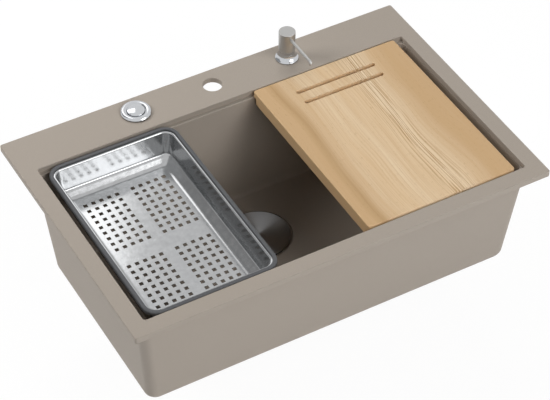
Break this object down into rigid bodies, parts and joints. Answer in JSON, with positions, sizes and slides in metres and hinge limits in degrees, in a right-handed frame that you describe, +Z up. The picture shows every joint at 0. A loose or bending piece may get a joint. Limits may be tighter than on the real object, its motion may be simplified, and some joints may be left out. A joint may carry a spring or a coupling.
{
  "type": "workstation kitchen sink",
  "caption": "Inset single-bowl kitchen sink with stepped rim, colander tray, chopping board, lifting strainer waste with push-button control, rear overflow and a soap dispenser.",
  "frame": {"origin": "middle of the flange, on the plane of the flange's seat on the worktop", "axes": "+X to the right, +Y to the rear with the tap deck, +Z up; the bowl hangs below z = 0"},
  "size_m": [0.78, 0.51, 0.4075],
  "materials": {
    "granite": "fine matt granite composite, pale warm grey",
    "brushed_sheet": "pressed stainless sheet, satin",
    "turned_steel": "stainless disc brushed in circles",
    "satin_steel": "fine satin stainless",
    "polished_steel": "polished stainless pressing",
    "chrome": "bright polished plate",
    "plain_steel": "plain bright steel",
    "rubber": "black moulded rubber",
    "soft_grey": "dark grey soft edging",
    "dark_plastic": "dark grey moulded plastic",
    "light_plastic": "off-white moulded plastic",
    "wood": "pale oiled hardwood, grain front to rear"
  },
  "bodies": {
    "sink": {"sink_bowl": "granite", "flange_seal": "rubber", "waste_top_gasket": "rubber", "waste_flange": "polished_steel", "waste_lower_gasket": "rubber", "waste_body": "dark_plastic", "waste_bolt": "polished_steel", "lift_guide": "dark_plastic", "lift_guide_nut": "plain_steel", "outlet_nut": "light_plastic", "outlet_seal": "rubber", "outlet_socket": "light_plastic", "outlet_pipe": "light_plastic", "outlet_bend": "light_plastic", "outlet_tail_nut": "light_plastic", "outlet_tail_pipe": "light_plastic", "overflow_plate": "polished_steel", "overflow_screw": "polished_steel", "overflow_gasket": "rubber", "overflow_elbow": "dark_plastic", "overflow_upper_nut": "light_plastic", "overflow_down_pipe": "light_plastic", "overflow_bend": "light_plastic", "overflow_cross_pipe": "light_plastic", "overflow_lower_nut": "light_plastic", "knob_gasket": "rubber", "knob_ring": "chrome", "knob_washer": "rubber", "knob_nut": "plain_steel", "knob_housing": "dark_plastic", "knob_cable_gland": "plain_steel", "knob_spring": "plain_steel", "dispenser_gasket": "rubber", "dispenser_foot": "chrome", "dispenser_collar": "chrome", "dispenser_washer": "rubber", "dispenser_nut": "plain_steel", "soap_bottle": "light_plastic"},
    "knob": {"knob_button": "chrome", "knob_plunger": "plain_steel"},
    "pin": {"lift_pin": "plain_steel"},
    "strainer": {"strainer_basket": "polished_steel", "strainer_seal": "rubber", "waste_cover": "turned_steel"},
    "pump": {"pump_cylinder": "light_plastic", "pump_dip_tube": "light_plastic", "pump_spring": "plain_steel"},
    "plunger": {"pump_piston": "light_plastic"},
    "head": {"pump_head": "satin_steel", "pump_spout": "satin_steel"},
    "tray": {"colander_tray": "brushed_sheet", "tray_edging": "soft_grey"},
    "board": {"chopping_board": "wood"}
  },
  "joints": [
    {"name": "knob_press", "type": "slide", "parent": "sink", "child": "knob", "axis": [0, 0, -1], "range_m": [0, 0.008], "stiffness_N_per_m": 300, "springref_m": -0.004, "deforming": ["knob_spring"]},
    {"name": "pin_lift", "type": "slide", "parent": "sink", "child": "pin", "axis": [0, 0, 1], "range_m": [0, 0.008]},
    {"name": "strainer_lift", "type": "slide", "parent": "pin", "child": "strainer", "axis": [0, 0, 1], "range_m": [0, 0.12]},
    {"name": "tray_slide", "type": "slide", "parent": "sink", "child": "tray", "axis": [1, 0, 0], "range_m": [-0.01, 0.075]},
    {"name": "board_slide", "type": "slide", "parent": "sink", "child": "board", "axis": [1, 0, 0], "range_m": [-0.075, 0.014]},
    {"name": "pump_lift", "type": "slide", "parent": "sink", "child": "pump", "axis": [0, 0, 1], "range_m": [0, 0.2]},
    {"name": "head_press", "type": "slide", "parent": "pump", "child": "plunger", "axis": [0, 0, -1], "range_m": [0, 0.007], "stiffness_N_per_m": 400, "springref_m": -0.004, "deforming": ["pump_spring"]},
    {"name": "head_turn", "type": "hinge", "parent": "plunger", "child": "head", "pos_m": [0.15, 0.217, 0.06], "axis": [0, 0, 1], "continuous": true}
  ],
  "couplings": [
    {"joint": "pin_lift", "follows": "knob_press", "ratio": 1}
  ]
}
